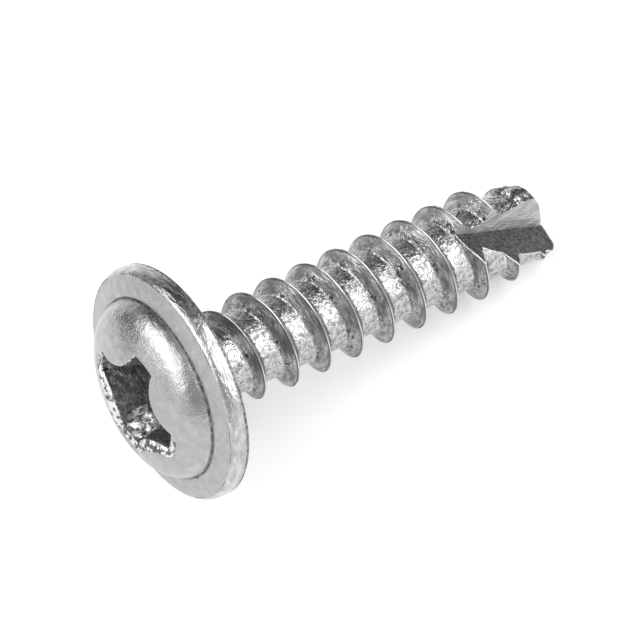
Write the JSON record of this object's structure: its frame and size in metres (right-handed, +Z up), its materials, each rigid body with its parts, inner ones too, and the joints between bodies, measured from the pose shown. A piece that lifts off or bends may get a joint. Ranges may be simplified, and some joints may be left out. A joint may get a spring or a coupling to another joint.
{
  "type": "pan head self-tapping screw",
  "caption": "Pan head self-tapping screw with a washer flange, a cross recess, a coarse spaced thread and a cutting notch at its blunt tip.",
  "frame": {"origin": "on the screw's axis, in the plane of the bearing face under the flange", "axes": "+X horizontal towards the tip, +Z up; the screw lies on the rim of its flange and on a thread edge near its tip, so its axis dips towards the tip"},
  "size_m": [0.0183, 0.009, 0.0089],
  "materials": {
    "steel": "bright plated, satin on the head"
  },
  "bodies": {
    "root": {"screw": "steel"}
  },
  "joints": []
}
